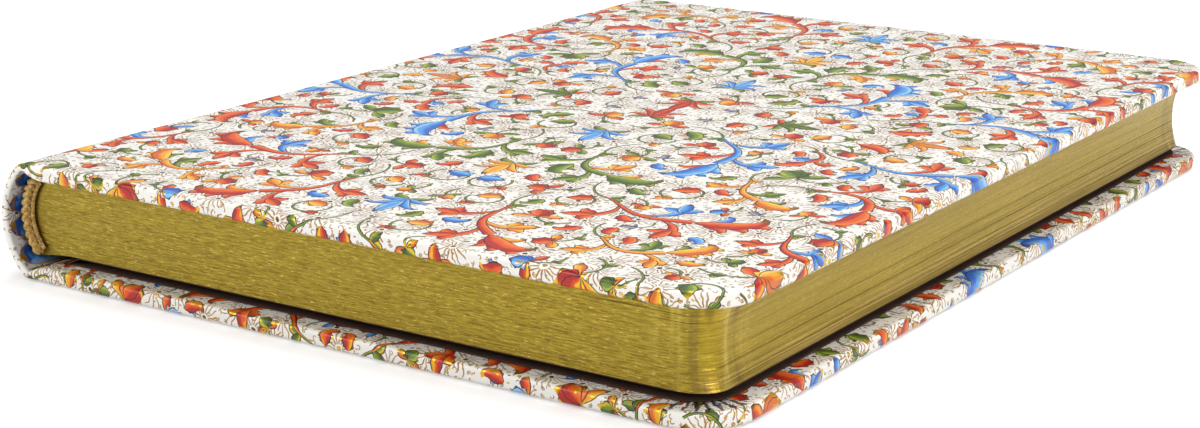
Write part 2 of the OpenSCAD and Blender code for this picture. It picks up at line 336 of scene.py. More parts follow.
def taken(x, y):
    i, j = int((x + PAD) / SQUARE), int((y + PAD) / SQUARE)
    return not (0 <= i < filled.shape[0] and 0 <= j < filled.shape[1]) or filled[i, j]


for motif, short, long, width, hooks, pairs, tries, clear in LAYERS:
    kept = 0
    for _ in range(tries):
        u, v, length = rng.uniform(0, QUARTER_U), rng.uniform(0, QUARTER_V), rng.uniform(short, long)
        flow = math.degrees(math.atan2(v, u)) + rng.choice((-1, 1)) * rng.uniform(0, 80)
        dx, dy = length * math.cos(math.radians(flow)), length * math.sin(math.radians(flow))
        ahead = [(u + share * dx, v + share * dy) for share in (0, 0.12, 0.25, 0.38)]
        if any(taken(x, y) for x, y in ahead):
            continue
        kept += place(motif((u, v), flow, length, rng.choice((-1, 1)), rng.choice(pairs), width, hooks), clear)
    print(f"{motif.__name__:8s} {short:2d}-{long:2d} mm: {kept}")
print(f"share of the grid that is taken: {filled.mean():.2f}")

# %% [markdown]
# ## Cutting the sheet into fields of colour
# A constrained triangulation cuts the flat sheet along every leaf's edge and along the lines where the
# paper bends, so each triangle lies in one leaf or in the ground. Each corner remembers how far across
# and along its leaf it is, and the material shades the leaf from that, as a painter's brush would.

# %% Fold lines of the sheet
EDGE_R, SPINE_EDGE_R = 0.64, 0.45
EDGE_ROWS = (-1.5, -0.64, -0.39, -0.14, 0.11, 0.36, 0.66, 0.94, 1.24, 1.53, 1.78, 2.03, 2.28, 2.53, 3.4, 4.6, 6.4)
SPINE_ROWS = (JOINT_W, 3.7, 2.9, 2.1, 1.5, 1.0, 0.6, 0.2, 0.0, -0.3, -0.7, -1.1, -1.6)
SPINE_TURN_IN = 10.0
SLANT_FROM, SLANT_W = 9, 4
HALF_W = COVER_W / 2
ARC_ROWS = list(np.linspace(-2.6, -HALF_ARC, 8))


def corner_loop(offset, steps):
    """The outline's rounded corner in the quarter, moved outwards by offset."""
    centre_u, centre_v, radius = COVER_W - CORNER_R - HALF_W, COVER_HALF_H - CORNER_R, CORNER_R + offset
    angles = [math.pi / 2 * i / steps for i in range(steps + 1)]
    arc = [(centre_u + radius * math.cos(a), centre_v + radius * math.sin(a)) for a in angles]
    return [(arc[0][0], 0.0)] + arc + [(0.0, arc[-1][1])]


# %% Lines and limits of a quarter
def add_line(points, edges, path):
    """Adds a line that the triangulation has to keep."""
    first = len(points)
    points.extend(path)
    edges.extend((first + i, first + i + 1) for i in range(len(path) - 1))


def quarter_lines(fore):
    """The fold lines and the rim of the fore-edge or the spine-side quarter."""
    points, edges = [], []
    rim = EDGE_ROWS[-1]
    if fore:
        for offset in EDGE_ROWS:
            add_line(points, edges, corner_loop(offset, 36 if offset > 1.6 else 14))
        outline = corner_loop(rim, 14)
        paths = [[(0, 0), outline[0]], [(0, 0), (0, outline[-1][1])]]
    else:
        end, top = HALF_W + HALF_ARC, COVER_HALF_H + SPINE_TURN_IN
        for offset in EDGE_ROWS:
            add_line(points, edges, [(0, COVER_HALF_H + offset), (end, COVER_HALF_H + offset)])
        for row in list(SPINE_ROWS) + ARC_ROWS:
            add_line(points, edges, [(HALF_W - row, 0), (HALF_W - row, top)])
        slant = (HALF_W - JOINT_W - SLANT_FROM, HALF_W - JOINT_W - SLANT_FROM + SLANT_W)
        paths = [[(0, COVER_HALF_H + rim), (slant[0], COVER_HALF_H + rim), (slant[1], top), (end, top)],
                 [(0, 0), (end, 0)], [(0, 0), (0, COVER_HALF_H + rim)]]
    for path in paths:
        add_line(points, edges, path)
    return points, edges


def inside_sheet(p, fore):
    if fore:
        du, dv = p[0] - (HALF_W - CORNER_R), p[1] - (COVER_HALF_H - CORNER_R)
        reach = math.hypot(du, dv) if du > 0 and dv > 0 else max(du, dv)
        return reach < CORNER_R + EDGE_ROWS[-1]
    slant = min(max((p[0] - (HALF_W - JOINT_W - SLANT_FROM)) / SLANT_W, 0), 1)
    turn_in = EDGE_ROWS[-1] + slant * (SPINE_TURN_IN - EDGE_ROWS[-1])
    return p[0] < HALF_W + HALF_ARC and p[1] < COVER_HALF_H + turn_in


# %% Triangulate one quarter
def ink_at(x, y, blade, left, right, i):
    """A corner's bloom, its place across and along the leaf's strip i, and half the leaf's width there."""
    (ax, ay), (bx, by) = blade.mid[i], blade.mid[i + 1]
    dx, dy = bx - ax, by - ay
    t = min(max(((x - ax) * dx + (y - ay) * dy) / (dx * dx + dy * dy + 1e-12), 0), 1)
    lx, ly = left[i][0] + (left[i + 1][0] - left[i][0]) * t, left[i][1] + (left[i + 1][1] - left[i][1]) * t
    rx, ry = right[i][0] + (right[i + 1][0] - right[i][0]) * t, right[i][1] + (right[i + 1][1] - right[i][1]) * t
    wide = max(math.hypot(rx - lx, ry - ly), 0.04)
    share = min(max(((x - lx) * (rx - lx) + (y - ly) * (ry - ly)) / (wide * wide), 0), 1)
    return blade.bloom, 1 - 2 * share, blade.reach * (i + t) / (len(blade.mid) - 1), wide / 2


def quarter(fore):
    """(points, triangles, inks) of a quarter; a strip that is listed later lies on top of an earlier one."""
    points, edges = quarter_lines(fore)
    faces, owner = [], []
    for blades in motifs:
        for blade in reversed(blades):
            left, mid, right = blade.rows()
            first, count = len(points), len(mid)
            points.extend(left + right)
            for i in range(count - 1):
                l0, r0 = first + i, first + count + i
                faces.append((l0, r0, r0 + 1, l0 + 1))
                owner.append((blade, left, right, i))
    result = delaunay_2d_cdt([Vector(p) for p in points], edges, faces, 0, 1e-5)
    flat = np.array([tuple(p) for p in result[0]])
    tris, inks = [], []
    for tri, sources in zip(result[2], result[5]):
        middle = flat[list(tri)].mean(0)
        if middle.min() >= 0 and inside_sheet(middle, fore):
            tris.append(tri)
            inks.append([ink_at(*flat[p], *owner[max(sources)]) for p in tri] if sources else [(0, 0, 0, 0)] * 3)
    return flat, np.array(tris), np.array(inks, float)


fore_quarter, back_quarter = quarter(True), quarter(False)
print("triangles in a quarter:", len(fore_quarter[1]), "and", len(back_quarter[1]))

# %% [markdown]
# ## Wrapping the sheet round the case
# The paper runs flat over the board, over its rounded edge, down the thickness and onto the inside,
# where it is the turn-in. At the spine it follows the arc of the spine strip. One function carries a
# point of the flat sheet to its place, so the print follows every fold as real paper does.

# %% The wrap
def smooth(x):
    x = np.clip(x, 0, 1)
    return x * x * (3 - 2 * x)


def spine_section(s):
    """The case's outer line seen from the end: flat over the board for s > 0, the spine's arc for s < 0."""
    angle = math.pi - HALF_ANGLE - np.minimum(s, 0) / SPINE_R
    dip = 0.16 * np.sin(np.pi * np.clip((s - 0.3) / (JOINT_W - 0.3), 0, 1)) ** 2
    x = np.where(s >= 0, s, SPINE_CENTRE + SPINE_R * np.cos(angle))
    z = np.where(s >= 0, CASE_T - dip, CASE_T / 2 + SPINE_R * np.sin(angle))
    return x, z


def eased_section(s):
    """The same line with the fold at s = 0 rounded, as pressed paper is."""
    shifts = np.linspace(-0.8, 0.8, 9)
    lines = [spine_section(s + shift) for shift in shifts]
    return sum(x for x, z in lines) / 9, sum(z for x, z in lines) / 9


PLEATS = [math.radians(10 + 12.5 * k) for k in range(7)]
PLEAT_STEP, PLEAT_W, PLEAT_DEPTH = math.radians(12.5), 0.025, 0.14
UV_MM = 100.0


def wrapped(sheet, depth):
    """Places flat points (s, y) of the sheet in the row frame, in mm, depth below the printed face."""
    s, y = sheet[:, 0], sheet[:, 1]
    back = s < -HALF_ARC
    s = np.where(back, -2 * HALF_ARC - s, s)
    up = np.abs(y)
    swell = smooth(s / JOINT_W)
    thick, r = SPINE_T + (WRAP_T - SPINE_T) * swell, SPINE_EDGE_R + (EDGE_R - SPINE_EDGE_R) * swell
    du, dv = s - (COVER_W - CORNER_R), up - (COVER_HALF_H - CORNER_R)
    corner = (du > 0) & (dv > 0)
    reach = np.where(corner, np.hypot(du, dv), np.maximum(du, dv))
    nx = np.where(corner, du / np.maximum(reach, 1e-9), np.where(du > dv, 1.0, 0.0))
    ny = np.where(corner, dv / np.maximum(reach, 1e-9), np.where(du > dv, 0.0, 1.0))
    d = np.maximum(reach - CORNER_R + r, 0)
    side, quarter_turn = thick - 2 * r, math.pi / 2 * r
    first = np.clip(d / r, 0, math.pi / 2)
    second = np.clip((d - quarter_turn - side) / r, 0, math.pi / 2)
    run = np.maximum(d - 2 * quarter_turn - side, 0)
    along = r * np.sin(first) - r * (1 - np.cos(second)) - run
    down = r * (1 - np.cos(first)) + np.clip(d - quarter_turn, 0, side) + r * np.sin(second)
    tilt = first + second
    inset = depth
    if depth == 0:
        angle = np.arctan2(dv, du)
        creases = sum(np.exp(-((angle - a) / PLEAT_W) ** 2) for a in PLEATS)
        inset = creases * corner * smooth(run / 1.2) * PLEAT_DEPTH
    along = along - inset * np.sin(tilt)
    down = down + inset * np.cos(tilt)
    s2 = s + nx * (along - d)
    y2 = np.sign(y) * (up + ny * (along - d))
    x0, z0 = eased_section(s2)
    x1, z1 = eased_section(s2 + 0.01)
    size = np.hypot(x1 - x0, z1 - z0)
    tx, tz = (x1 - x0) / size, (z1 - z0) / size
    x, z = x0 + down * tz, z0 - down * tx
    return np.stack([FOLD_X + x, y2, np.where(back, CASE_T - z, z)], 1)


# %% Assemble the flat sheet
def whole_sheet():
    """Mirrors the two quarters into the whole flat sheet, from the front cover round the spine to the back."""
    points, tris, inks, total = [], [], [], 0
    for face in ("front", "back"):
        for part, towards in ((fore_quarter, 1), (back_quarter, -1)):
            for up in (1, -1):
                flat, tri, ink = part
                s = HALF_W + towards * flat[:, 0]
                flipped = (towards * up < 0) != (face == "back")
                s = s if face == "front" else -2 * HALF_ARC - s
                points.append(np.stack([s, up * flat[:, 1]], 1))
                tris.append((tri[:, ::-1] if flipped else tri) + total)
                inks.append(ink[:, ::-1] if flipped else ink)
                total += len(flat)
    return np.vstack(points), np.vstack(tris), np.concatenate(inks)


sheet_points, sheet_tris, sheet_inks = whole_sheet()
print("triangles in the whole sheet:", len(sheet_tris))


# %% The unprinted side
def in_sheet(p):
    """Whether a flat point lies on the sheet."""
    s = p[0] if p[0] >= -HALF_ARC else -2 * HALF_ARC - p[0]
    return inside_sheet((abs(s - HALF_W), abs(p[1])), s > HALF_W)


def coarse_lining(rim_points, rim_edges, low, high):
    """The unprinted side: the same rim, with only the fold lines inside it."""
    points = [tuple(p) for p in rim_points]
    edges = [tuple(e) for e in rim_edges]
    eps = 0.02
    back_side, on_spine = low < -HALF_ARC, high - low < 3 * HALF_ARC
    for offset in EDGE_ROWS[1:-1]:
        arc = [(HALF_W + u, v) for u, v in corner_loop(offset, 10)[1:-1]]
        loop = [(eps, -arc[-1][1])] + [(s, -v) for s, v in arc[::-1]] + arc + [(eps, arc[-1][1])]
        if on_spine:
            for side in (-1, 1):
                y = side * (COVER_HALF_H + offset)
                add_line(points, edges, [(low + eps, y), (high - eps, y)])
        else:
            add_line(points, edges, [(-2 * HALF_ARC - s, v) for s, v in loop] if back_side else loop)
    for row in list(SPINE_ROWS) + ARC_ROWS:
        for s in (row, -2 * HALF_ARC - row):
            if low + eps < s < high - eps:
                on_strip = -2 * HALF_ARC - JOINT_W - 0.1 < s < JOINT_W + 0.1
                end = COVER_HALF_H + (SPINE_TURN_IN if on_strip else EDGE_ROWS[-1]) - eps
                add_line(points, edges, [(s, -end), (s, end)])
    return delaunay_2d_cdt([Vector(p) for p in points], edges, [], 0, 1e-5)


# %% Make one piece of the sheet
def cut_piece(low, high):
    """Points, triangles and inks of the sheet between two flat positions, with shared points merged."""
    middle = sheet_points[sheet_tris].mean(1)[:, 0]
    pick = (middle > low) & (middle < high)
    unique, index = np.unique(np.round(sheet_points, 4), axis=0, return_inverse=True)
    used, tris = np.unique(index.reshape(-1)[sheet_tris[pick]], return_inverse=True)
    tris = tris.reshape(-1, 3)
    solid = (tris[:, 0] != tris[:, 1]) & (tris[:, 1] != tris[:, 2]) & (tris[:, 2] != tris[:, 0])
    return unique[used], tris[solid], sheet_inks[pick][solid]


def rim_of(tris):
    """The edges that only one triangle has."""
    pairs = np.vstack([tris[:, [0, 1]], tris[:, [1, 2]], tris[:, [2, 0]]])
    _, where, counts = np.unique(np.sort(pairs, 1), axis=0, return_index=True, return_counts=True)
    return pairs[where[counts == 1]]


def paper_object(name, places, faces, flat, inks):
    """The mesh, with the inks on its printed corners and the flat sheet as its UV map."""
    mesh = bpy.data.meshes.new(name)
    mesh.from_pydata((places * MM).tolist(), [], faces)
    values = np.zeros((len(mesh.loops), 5), np.float32)
    values[:len(inks) * 3, :4] = inks.reshape(-1, 4)
    values[:len(inks) * 3, 4] = 1.0
    for k, label in enumerate(("bloom", "across", "along", "half_width", "printed")):
        layer = mesh.attributes.new(label, "FLOAT", "CORNER")
        layer.data.foreach_set("value", np.ascontiguousarray(values[:, k]))
    corner = np.zeros(len(mesh.loops), np.int32)
    mesh.loops.foreach_get("vertex_index", corner)
    paper = mesh.uv_layers.new(name="paper")
    paper.data.foreach_set("uv", (flat[corner] / UV_MM).astype(np.float32).ravel())
    mesh.polygons.foreach_set("use_smooth", [True] * len(mesh.polygons))
    obj = bpy.data.objects.new(name, mesh)
    bpy.context.scene.collection.objects.link(obj)
    return obj


def case_paper(name, low, high):
    """A closed piece of paper: the printed side, the unprinted side and the rim that joins them."""
    flat, tris, inks = cut_piece(low, high)
    rim = rim_of(tris)
    rim_ids, rim_local = np.unique(rim, return_inverse=True)
    rim_local = rim_local.reshape(-1, 2)
    lining = coarse_lining(flat[rim_ids], rim_local, low, high)
    lining_flat = np.array([tuple(p) for p in lining[0]])
    inner_of = {old: new for new, olds in enumerate(lining[3]) for old in olds if old < len(rim_ids)}
    n = len(flat)
    inner_tris = [(n + a, n + c, n + b) for a, b, c in lining[2] if in_sheet(lining_flat[[a, b, c]].mean(0))]
    rim_quads = [(int(b), int(a), n + inner_of[int(i)], n + inner_of[int(j)])
                 for (a, b), (i, j) in zip(rim, rim_local)]
    places = np.vstack([wrapped(flat, 0), wrapped(lining_flat, PAPER_T)])
    print(f"{name}: {len(tris)} printed triangles, lining {len(inner_tris)}, rim {len(rim)}")
    return paper_object(name, places, tris.tolist() + inner_tris + rim_quads, np.vstack([flat, lining_flat]), inks)


# %% The three pieces
EDGE_END = COVER_W + EDGE_ROWS[-1] + 1
front_paper = case_paper("front_case_paper", 0.0, EDGE_END)
back_paper = case_paper("back_case_paper", -2 * HALF_ARC - EDGE_END, -2 * HALF_ARC)
spine_paper = case_paper("spine_case_paper", -2 * HALF_ARC, 0.0)
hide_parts("front_cover_paper")
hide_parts("back_cover_paper")
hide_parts("spine_paper")
for paper, cover, z in ((front_paper, "front_cover", CASE_T), (back_paper, "back_cover", 0)):
    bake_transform(paper)
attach(spine_paper, "book_block")

# %% [markdown]
# ## Node helpers
# A material is a small chain of nodes. These helpers make the chain short to write: each makes one
# node on the bench, which is the tree being built, sets or links its inputs, and gives back its output.

# %% Nodes
bench = {}


def new_material(name):
    """A new material, whose tree is laid on the bench, and its main shader."""
    material = bpy.data.materials.new(name)
    material.use_nodes = True
    bench["tree"] = material.node_tree
    return material, material.node_tree.nodes["Principled BSDF"]


def feed(socket, value):
    if isinstance(value, bpy.types.NodeSocket):
        bench["tree"].links.new(value, socket)
    else:
        socket.default_value = value


def add_node(kind, *values, output=0, **settings):
    """Makes a node, gives it its settings and its first inputs, and returns one output."""
    node = bench["tree"].nodes.new("ShaderNode" + kind)
    for name, setting in settings.items():
        setattr(node, name, setting)
    for socket, value in zip(node.inputs, values):
        feed(socket, value)
    return node.outputs[output]


def calc(operation, a, b=0.0):
    return add_node("Math", a, b, operation=operation)


def times(a, b):
    return calc("MULTIPLY", a, b)


def plus(a, b):
    return calc("ADD", a, b)


def minus(a, b):
    return calc("SUBTRACT", a, b)


def most(a, b):
    return calc("MAXIMUM", a, b)


def size_of(a):
    return calc("ABSOLUTE", a)


def vector_calc(operation, a, b=(0, 0, 0), output=0):
    return add_node("VectorMath", a, b, operation=operation, output=output)


def length_of(vector):
    return vector_calc("LENGTH", vector, output=1)


def split_up(vector):
    """The x, y and z of a vector."""
    return add_node("SeparateXYZ", vector).node.outputs


def blur_step(value, low, high, to_low=0.0, to_high=1.0):
    """A soft step: to_low below low, to_high above high."""
    return add_node("MapRange", value, low, high, to_low, to_high, interpolation_type="SMOOTHSTEP")


def below(value, full, none):
    """A soft mask: 1 up to full, 0 from none on."""
    return blur_step(value, full, none, 1.0, 0.0)


def mix_colour(factor, a, b, blend="MIX"):
    node = add_node("Mix", data_type="RGBA", blend_type=blend).node
    for socket, value in zip((node.inputs[0], node.inputs[6], node.inputs[7]), (factor, a, b)):
        feed(socket, value)
    return node.outputs[2]


def noise(vector, scale, detail=2.0, roughness=0.5, dimensions="3D", output="Fac"):
    node = add_node("TexNoise", noise_dimensions=dimensions).node
    for name, value in (("Vector", vector), ("Scale", scale), ("Detail", detail), ("Roughness", roughness)):
        feed(node.inputs[name], value)
    return node.outputs[output]


def attribute(name):
    return add_node("Attribute", attribute_name=name, output="Fac")


def object_place(scale=(1, 1, 1), shift=(0, 0, 0)):
    """A place on the piece, in metres, stretched by scale so that a pattern gets its grain."""
    node = add_node("Mapping", add_node("TexCoord", output="Object"), shift).node
    node.inputs["Scale"].default_value = scale
    return node.outputs[0]


def cells_of(vector, size, randomness=1.0):
    """A flat Voronoi pattern, whose cells are size across, as its node's outputs."""
    node = add_node("TexVoronoi", voronoi_dimensions="2D").node
    for name, value in (("Vector", vector), ("Scale", 1 / size), ("Randomness", randomness)):
        feed(node.inputs[name], value)
    return node.outputs


def coat(skin, tone, roughness, height, strength, depth):
    """Gives the main shader its colour, its roughness and its fine relief, whose depth is in metres."""
    relief = add_node("Bump", strength, depth).node
    feed(relief.inputs["Height"], height)
    for name, value in (("Base Color", tone), ("Roughness", roughness), ("Normal", relief.outputs[0])):
        feed(skin.inputs[name], value)


def ink(red, green, blue):
    """An ink's colour as a shader reads it, from its 0 to 255 screen values."""
    linear = [((c / 255 + 0.055) / 1.055) ** 2.4 if c > 10 else c / 255 / 12.92 for c in (red, green, blue)]
    return (*linear, 1.0)


def colour_wheel(index, colours):
    """Picks a flat colour by number, with no blend between them."""
    node = add_node("ValToRGB", calc("DIVIDE", plus(index, 0.5), float(len(colours)))).node
    node.color_ramp.interpolation = "CONSTANT"
    stops = node.color_ramp.elements
    while len(stops) < len(colours):
        stops.new(0.5)
    for k, colour in enumerate(colours):
        stops[k].position, stops[k].color = k / len(colours), colour
    return node.outputs[0]


# %% [markdown]
# ## The printed paper
# The sheet is glossy coated paper. Its leaves are shaded from a light edge to a dark one with a fine
# dark outline and a gold tip, and the ground is filled with starbursts of gold-brown hairlines.
# The leaves come from the mesh; the hairlines are too fine for a mesh, so the material draws them
# from the sheet's flat map, where each cell of a Voronoi pattern holds one burst.

# %% Starbursts of hairlines
STAR_CELL, MARK_CELL = 6.4, 1.2
RAYS = 15.0
RAY_STEP = 2 * math.pi / RAYS


def star_rays(sheet):
    """A mask of the wavy rays of the bursts, and the distance from each burst's middle, in millimetres."""
    bend = noise(sheet, 0.9, 1.0, 0.5, "2D", "Color")
    sway = vector_calc("MULTIPLY", vector_calc("SUBTRACT", bend, (0.5, 0.5, 0.5)), (0.5, 0.5, 0.5))
    swayed = vector_calc("ADD", sheet, sway)
    cells = cells_of(swayed, STAR_CELL, 0.75)
    away = vector_calc("SUBTRACT", swayed, cells["Position"])
    x, y, z = split_up(away)
    far = length_of(away)
    hue = add_node("SeparateColor", cells["Color"]).node.outputs
    angle = plus(calc("DIVIDE", calc("ARCTAN2", y, x), RAY_STEP), times(hue[0], 9.0))
    chance = add_node("TexWhiteNoise", add_node("CombineXYZ", calc("FLOOR", angle), hue[1]), noise_dimensions="2D")
    lean = minus(chance, 0.5)
    reach = plus(times(chance, 1.6), 2.2)
    wave = calc("SINE", plus(times(far, 3.2), times(lean, 20.0)))
    tip_turn = blur_step(minus(reach, far), 0.7, 0.0)
    curl = plus(times(times(far, far), times(lean, 0.05)), times(wave, 0.07))
    curl = plus(curl, times(tip_turn, times(calc("SIGN", lean), 0.14)))
    across = size_of(minus(plus(calc("FRACT", angle), curl), 0.5))
    width = times(across, times(far, RAY_STEP))
    line = times(below(width, 0.07, 0.15), blur_step(far, 0.65, 0.8))
    return times(line, below(minus(far, reach), 0.0, 0.15)), far


def small_marks(sheet, far):
    """Masks of the little open rings and the dashes that fill the ground between the bursts."""
    marks = cells_of(sheet, MARK_CELL)
    away = vector_calc("SUBTRACT", sheet, marks["Position"])
    x, y, z = split_up(away)
    hue = add_node("SeparateColor", marks["Color"]).node.outputs
    open_arc = calc("SINE", plus(calc("ARCTAN2", y, x), times(hue[0], 6.28)))
    rings = times(below(size_of(minus(length_of(away), 0.30)), 0.05, 0.11), blur_step(open_arc, -0.35, -0.2))
    rings = times(times(rings, blur_step(hue[1], 0.30, 0.31)), blur_step(far, 1.9, 2.1))
    oval = length_of(vector_calc("MULTIPLY", away, (1.0, 2.0, 1.0)))
    return rings, times(below(oval, 0.20, 0.30), blur_step(hue[2], 0.60, 0.61))


def star_lines(sheet):
    """Masks of all the hairlines and of the dark marks: the bursts' middles and the dashes."""
    rays, far = star_rays(sheet)
    rings, dashes = small_marks(sheet, far)
    return most(rays, rings), most(below(far, 0.34, 0.46), times(dashes, 0.8))


# %% Zones of the sheet
def sheet_zones(sheet):
    """Masks of the board's edges, where a brighter gold is painted on as a glint, of the corners' pleats, which get
    painted shade, and of the spine's shell, whose turn-in inside the hollow gets painted shade.
    """
    x, y, z = split_up(sheet)
    from_spine = minus(size_of(plus(x, HALF_ARC)), HALF_ARC)
    across = minus(from_spine, COVER_W - CORNER_R)
    up = minus(size_of(y), COVER_HALF_H - CORNER_R)
    reach = length_of(add_node("CombineXYZ", most(across, 0.0), most(up, 0.0)))
    on_edge = blur_step(reach, CORNER_R - 0.75, CORNER_R - 0.45)
    on_edge = times(on_edge, below(reach, CORNER_R + 2.4, CORNER_R + 2.7))
    wobble = times(minus(noise(sheet, 0.5, 1.0, 0.5, "2D"), 0.5), 0.12)
    angle = plus(calc("ARCTAN2", up, across), wobble)
    fold = calc("DIVIDE", minus(angle, PLEATS[0] - PLEAT_STEP / 2), PLEAT_STEP)
    off_fold = size_of(minus(calc("FRACT", fold), 0.5))
    past_both = blur_step(calc("MINIMUM", across, up), -0.2, 0.3)
    turned_in = times(past_both, blur_step(reach, CORNER_R + 2.2, CORNER_R + 3.0))
    shell = times(below(from_spine, 0.0, 0.4), blur_step(up, CORNER_R + 0.9, CORNER_R + 1.5))
    return on_edge, times(below(off_fold, 0.08, 0.24), turned_in), shell


# %% Inks of the leaves
WHITE = ink(240, 238, 232)
FILLS = (WHITE, ink(226, 90, 22), ink(240, 164, 44), ink(116, 140, 44), ink(84, 156, 226), ink(144, 142, 166))
DEEPS = (WHITE, ink(180, 34, 30), ink(214, 104, 26), ink(74, 96, 34), ink(48, 104, 200), ink(104, 98, 124))
LIGHTS = (WHITE, ink(240, 122, 52), ink(250, 198, 78), ink(166, 180, 66), ink(142, 198, 244), ink(182, 182, 200))
TIPS = (WHITE, ink(124, 88, 22), ink(150, 104, 24), ink(120, 98, 26), ink(48, 92, 180), ink(112, 88, 34))
PEN, SPINE_PEN = ink(40, 34, 26), ink(214, 158, 62)


def painted_leaves(sheet, shell):
    """The leaves' colour, and masks of the leaves, of their tips, their pen outline and a light stroke."""
    bloom, across, half_width = attribute("bloom"), attribute("across"), attribute("half_width")
    fills, deeps, lights, tips = (colour_wheel(bloom, inks) for inks in (FILLS, DEEPS, LIGHTS, TIPS))
    brush = minus(noise(sheet, 0.8, 3.0, 0.6, "2D"), 0.5)
    edge = plus(across, times(brush, 0.7))
    colour = mix_colour(blur_step(edge, 0.12, 0.34), fills, deeps)
    colour = mix_colour(blur_step(edge, -0.30, -0.62), colour, lights)
    tip = blur_step(plus(attribute("along"), times(brush, 0.25)), 0.80, 0.86)
    colour = mix_colour(tip, colour, tips)
    leaf = blur_step(bloom, 0.4, 0.6)
    vein = times(below(size_of(minus(edge, 0.12)), 0.03, 0.10), blur_step(half_width, 0.5, 0.8))
    colour = mix_colour(times(times(vein, leaf), 0.55), colour, deeps)
    to_edge = times(minus(1.0, size_of(across)), half_width)
    pen = calc("MINIMUM", plus(0.19, times(blur_step(half_width, 2.0, 2.3), 0.25)), times(half_width, 0.5))
    rim = times(below(calc("DIVIDE", to_edge, most(pen, 0.01)), 0.75, 1.25), leaf)
    colour = mix_colour(times(rim, 0.95), colour, mix_colour(shell, PEN, SPINE_PEN))
    return colour, leaf, tip, rim, below(size_of(plus(edge, 0.45)), 0.16, 0.24)


# %% Printed paper
def make_printed_paper():
    material, skin = new_material("printed_paper")
    sheet = vector_calc("MULTIPLY", add_node("UVMap", uv_map="paper"), (UV_MM, UV_MM, 0.0))
    on_edge, pleats, shell = sheet_zones(sheet)
    colour, leaf, tip, rim, stroke = painted_leaves(sheet, shell)
    lines, centres = star_lines(sheet)
    ground = times(minus(1.0, leaf), attribute("printed"))
    fade = blur_step(noise(sheet, 0.35, 2.0, 0.5, "2D"), 0.3, 0.7, 0.7, 1.0)
    lines = times(times(lines, fade), ground)
    centres = times(centres, ground)
    # Painted glint: where the print wraps the board's edges, its gold marks are painted a brighter gold and made more
    # metallic.
    painted_edge_glint = times(on_edge, most(centres, times(leaf, most(tip, stroke))))
    painted_edge_glint = times(painted_edge_glint, blur_step(noise(sheet, 0.45, 1.0, 0.5, "2D"), 0.42, 0.55))
    colour = mix_colour(lines, colour, ink(150, 104, 38))
    colour = mix_colour(centres, colour, ink(92, 66, 28))
    colour = mix_colour(painted_edge_glint, colour, ink(220, 176, 44))
    # Painted glint: the hairlines on the board's edges are painted a brighter gold.
    colour = mix_colour(times(times(lines, on_edge), 0.6), colour, ink(176, 124, 34))
    # Painted shade: dark brown lines in the creases of the corners' pleats.
    colour = mix_colour(times(pleats, 0.9), colour, ink(48, 28, 20))
    # Painted shade: the turn-in inside the spine's hollow is multiplied towards a dark blue-grey.
    colour = mix_colour(times(shell, 0.5), colour, ink(140, 138, 168), "MULTIPLY")
    mottle = noise(sheet, 0.12, 3.0, 0.6, "2D")
    colour = mix_colour(times(mottle, 0.12), colour, ink(226, 218, 200), "MULTIPLY")
    foil = most(times(lines, 0.1), most(times(centres, 0.3), times(times(tip, leaf), 0.25)))
    feed(skin.inputs["Metallic"], most(foil, times(painted_edge_glint, 0.9)))
    for name, value in (("Coat Weight", 0.12), ("Coat Roughness", 0.12), ("Specular IOR Level", 0.32)):
        skin.inputs[name].default_value = value
    fibre = noise(sheet, 3.5, 3.0, 0.6, "2D")
    height = plus(times(fibre, 0.3), times(most(lines, rim), 0.5))
    coat(skin, colour, plus(0.30, times(mottle, 0.12)), height, 0.25, 0.00003)
    return material


printed_paper = make_printed_paper()
for piece in (front_paper, back_paper, spine_paper):
    piece.data.materials.append(printed_paper)
print("printed paper:", len(printed_paper.node_tree.nodes), "nodes")

# %% [markdown]
# ## The page block
# The leaves are sewn, rounded at the back, trimmed with round corners and gilded on their three edges.
# The block starts as one leaf with two corners bevelled round, and is extruded leaf by leaf.
# Each layer is then slid a little, so that the fore-edge is hollow and the back is round, and near the
# back the outer leaves rise into shoulders that the boards sit against.

# %% Mesh helpers
def only(result, kind):
    """The new vertices, edges or faces that a bmesh operator reports."""
    return [g for g in result["geom"] if isinstance(g, kind)]


def to_object(name, bm, smooth=False):
    """Turns a bmesh made in millimetres into an object in metres, at the origin."""
    bmesh.ops.scale(bm, vec=(MM, MM, MM), verts=bm.verts)
    mesh = bpy.data.meshes.new(name)
    bm.to_mesh(mesh)
    bm.free()
    mesh.polygons.foreach_set("use_smooth", [smooth] * len(mesh.polygons))
    obj = bpy.data.objects.new(name, mesh)
    bpy.context.scene.collection.objects.link(obj)
    return obj


# %% One leaf
LEAF_COUNT, LEAF_GAP, HOLLOW, BACK_SAG, SHOULDER_W = 56, 0.08, 1.1, 2.3, 8
PAGE_CORNER_R = 8.0
CORNER_CUT = 0.586

page_low, page_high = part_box("page_block")
LEAVES_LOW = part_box("back_flyleaf")[1].z / MM + LEAF_GAP
LEAVES_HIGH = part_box("front_flyleaf")[0].z / MM - LEAF_GAP
LEAVES_MID, LEAVES_HALF_T = (LEAVES_LOW + LEAVES_HIGH) / 2, (LEAVES_HIGH - LEAVES_LOW) / 2
PAGE_FORE, PAGE_HALF_H = page_high.x / MM, page_high.y / MM
BACK_MID, BACK_TIP = page_low.x / MM, page_low.x / MM + BACK_SAG
SHOULDER_RISE = page_high.z / MM - LEAVES_HIGH


